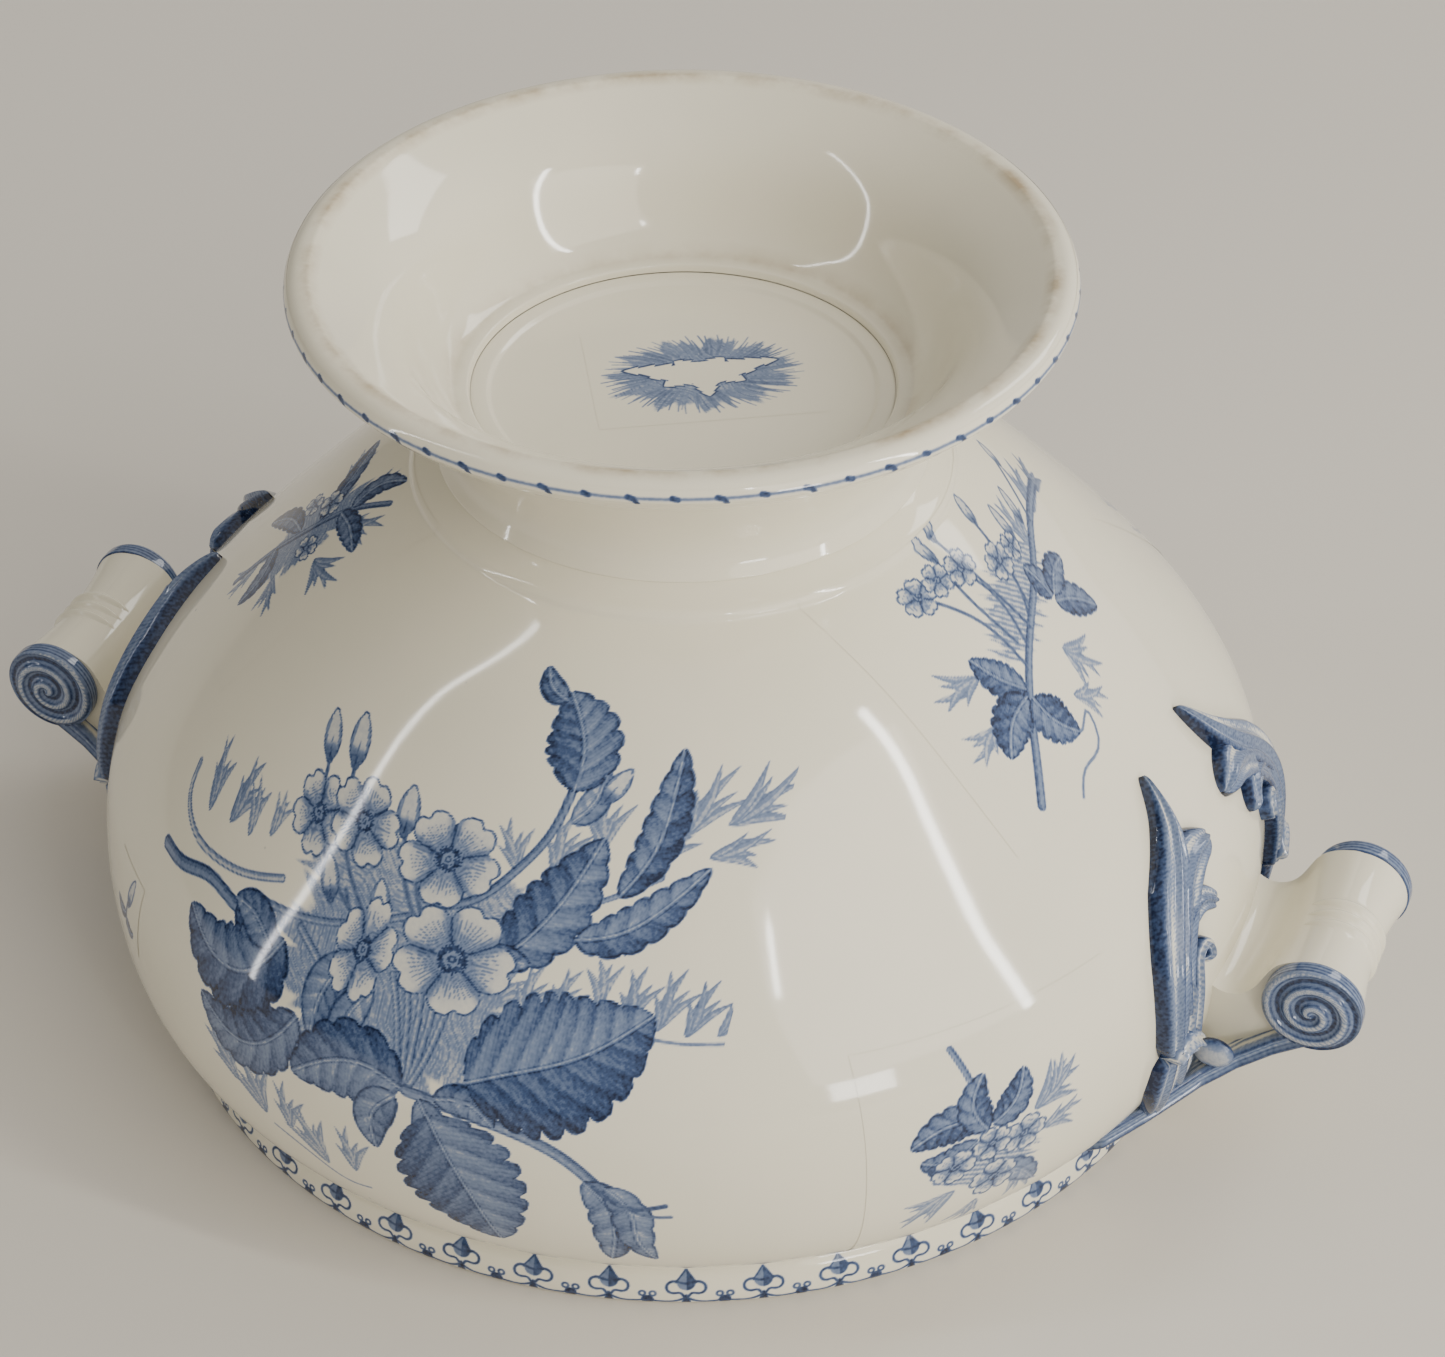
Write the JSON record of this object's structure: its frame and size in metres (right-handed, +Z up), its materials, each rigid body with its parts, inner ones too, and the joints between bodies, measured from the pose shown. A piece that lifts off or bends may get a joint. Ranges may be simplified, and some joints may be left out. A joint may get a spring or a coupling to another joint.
{
  "type": "footed serving bowl",
  "caption": "Deep round footed bowl of white glazed ware with blue printed flowers and scroll handles, shown resting on its rim.",
  "frame": {"origin": "centre of the rim circle, on the surface that the rim stands on", "axes": "+Z up along the bowl's axis, from the rim to the foot, because the bowl is shown upside down; +X through the middle of one handle. Turn it half a turn about X to use it."},
  "size_m": [0.3104, 0.2502, 0.175],
  "materials": {
    "white_glaze": "clear glossy glaze over cream-white body",
    "printed_glaze": "cobalt blue printed relief under the same clear glaze"
  },
  "bodies": {
    "root": {"bowl_body": "white_glaze", "foot_pedestal": "white_glaze", "handle_lug_right": "printed_glaze", "handle_roll_right": "white_glaze", "scroll_end_front_right": "printed_glaze", "scroll_end_back_right": "printed_glaze", "leaf_arm_front_right": "printed_glaze", "leaf_arm_back_right": "printed_glaze", "handle_lug_left": "printed_glaze", "handle_roll_left": "white_glaze", "scroll_end_front_left": "printed_glaze", "scroll_end_back_left": "printed_glaze", "leaf_arm_front_left": "printed_glaze", "leaf_arm_back_left": "printed_glaze"}
  },
  "joints": []
}
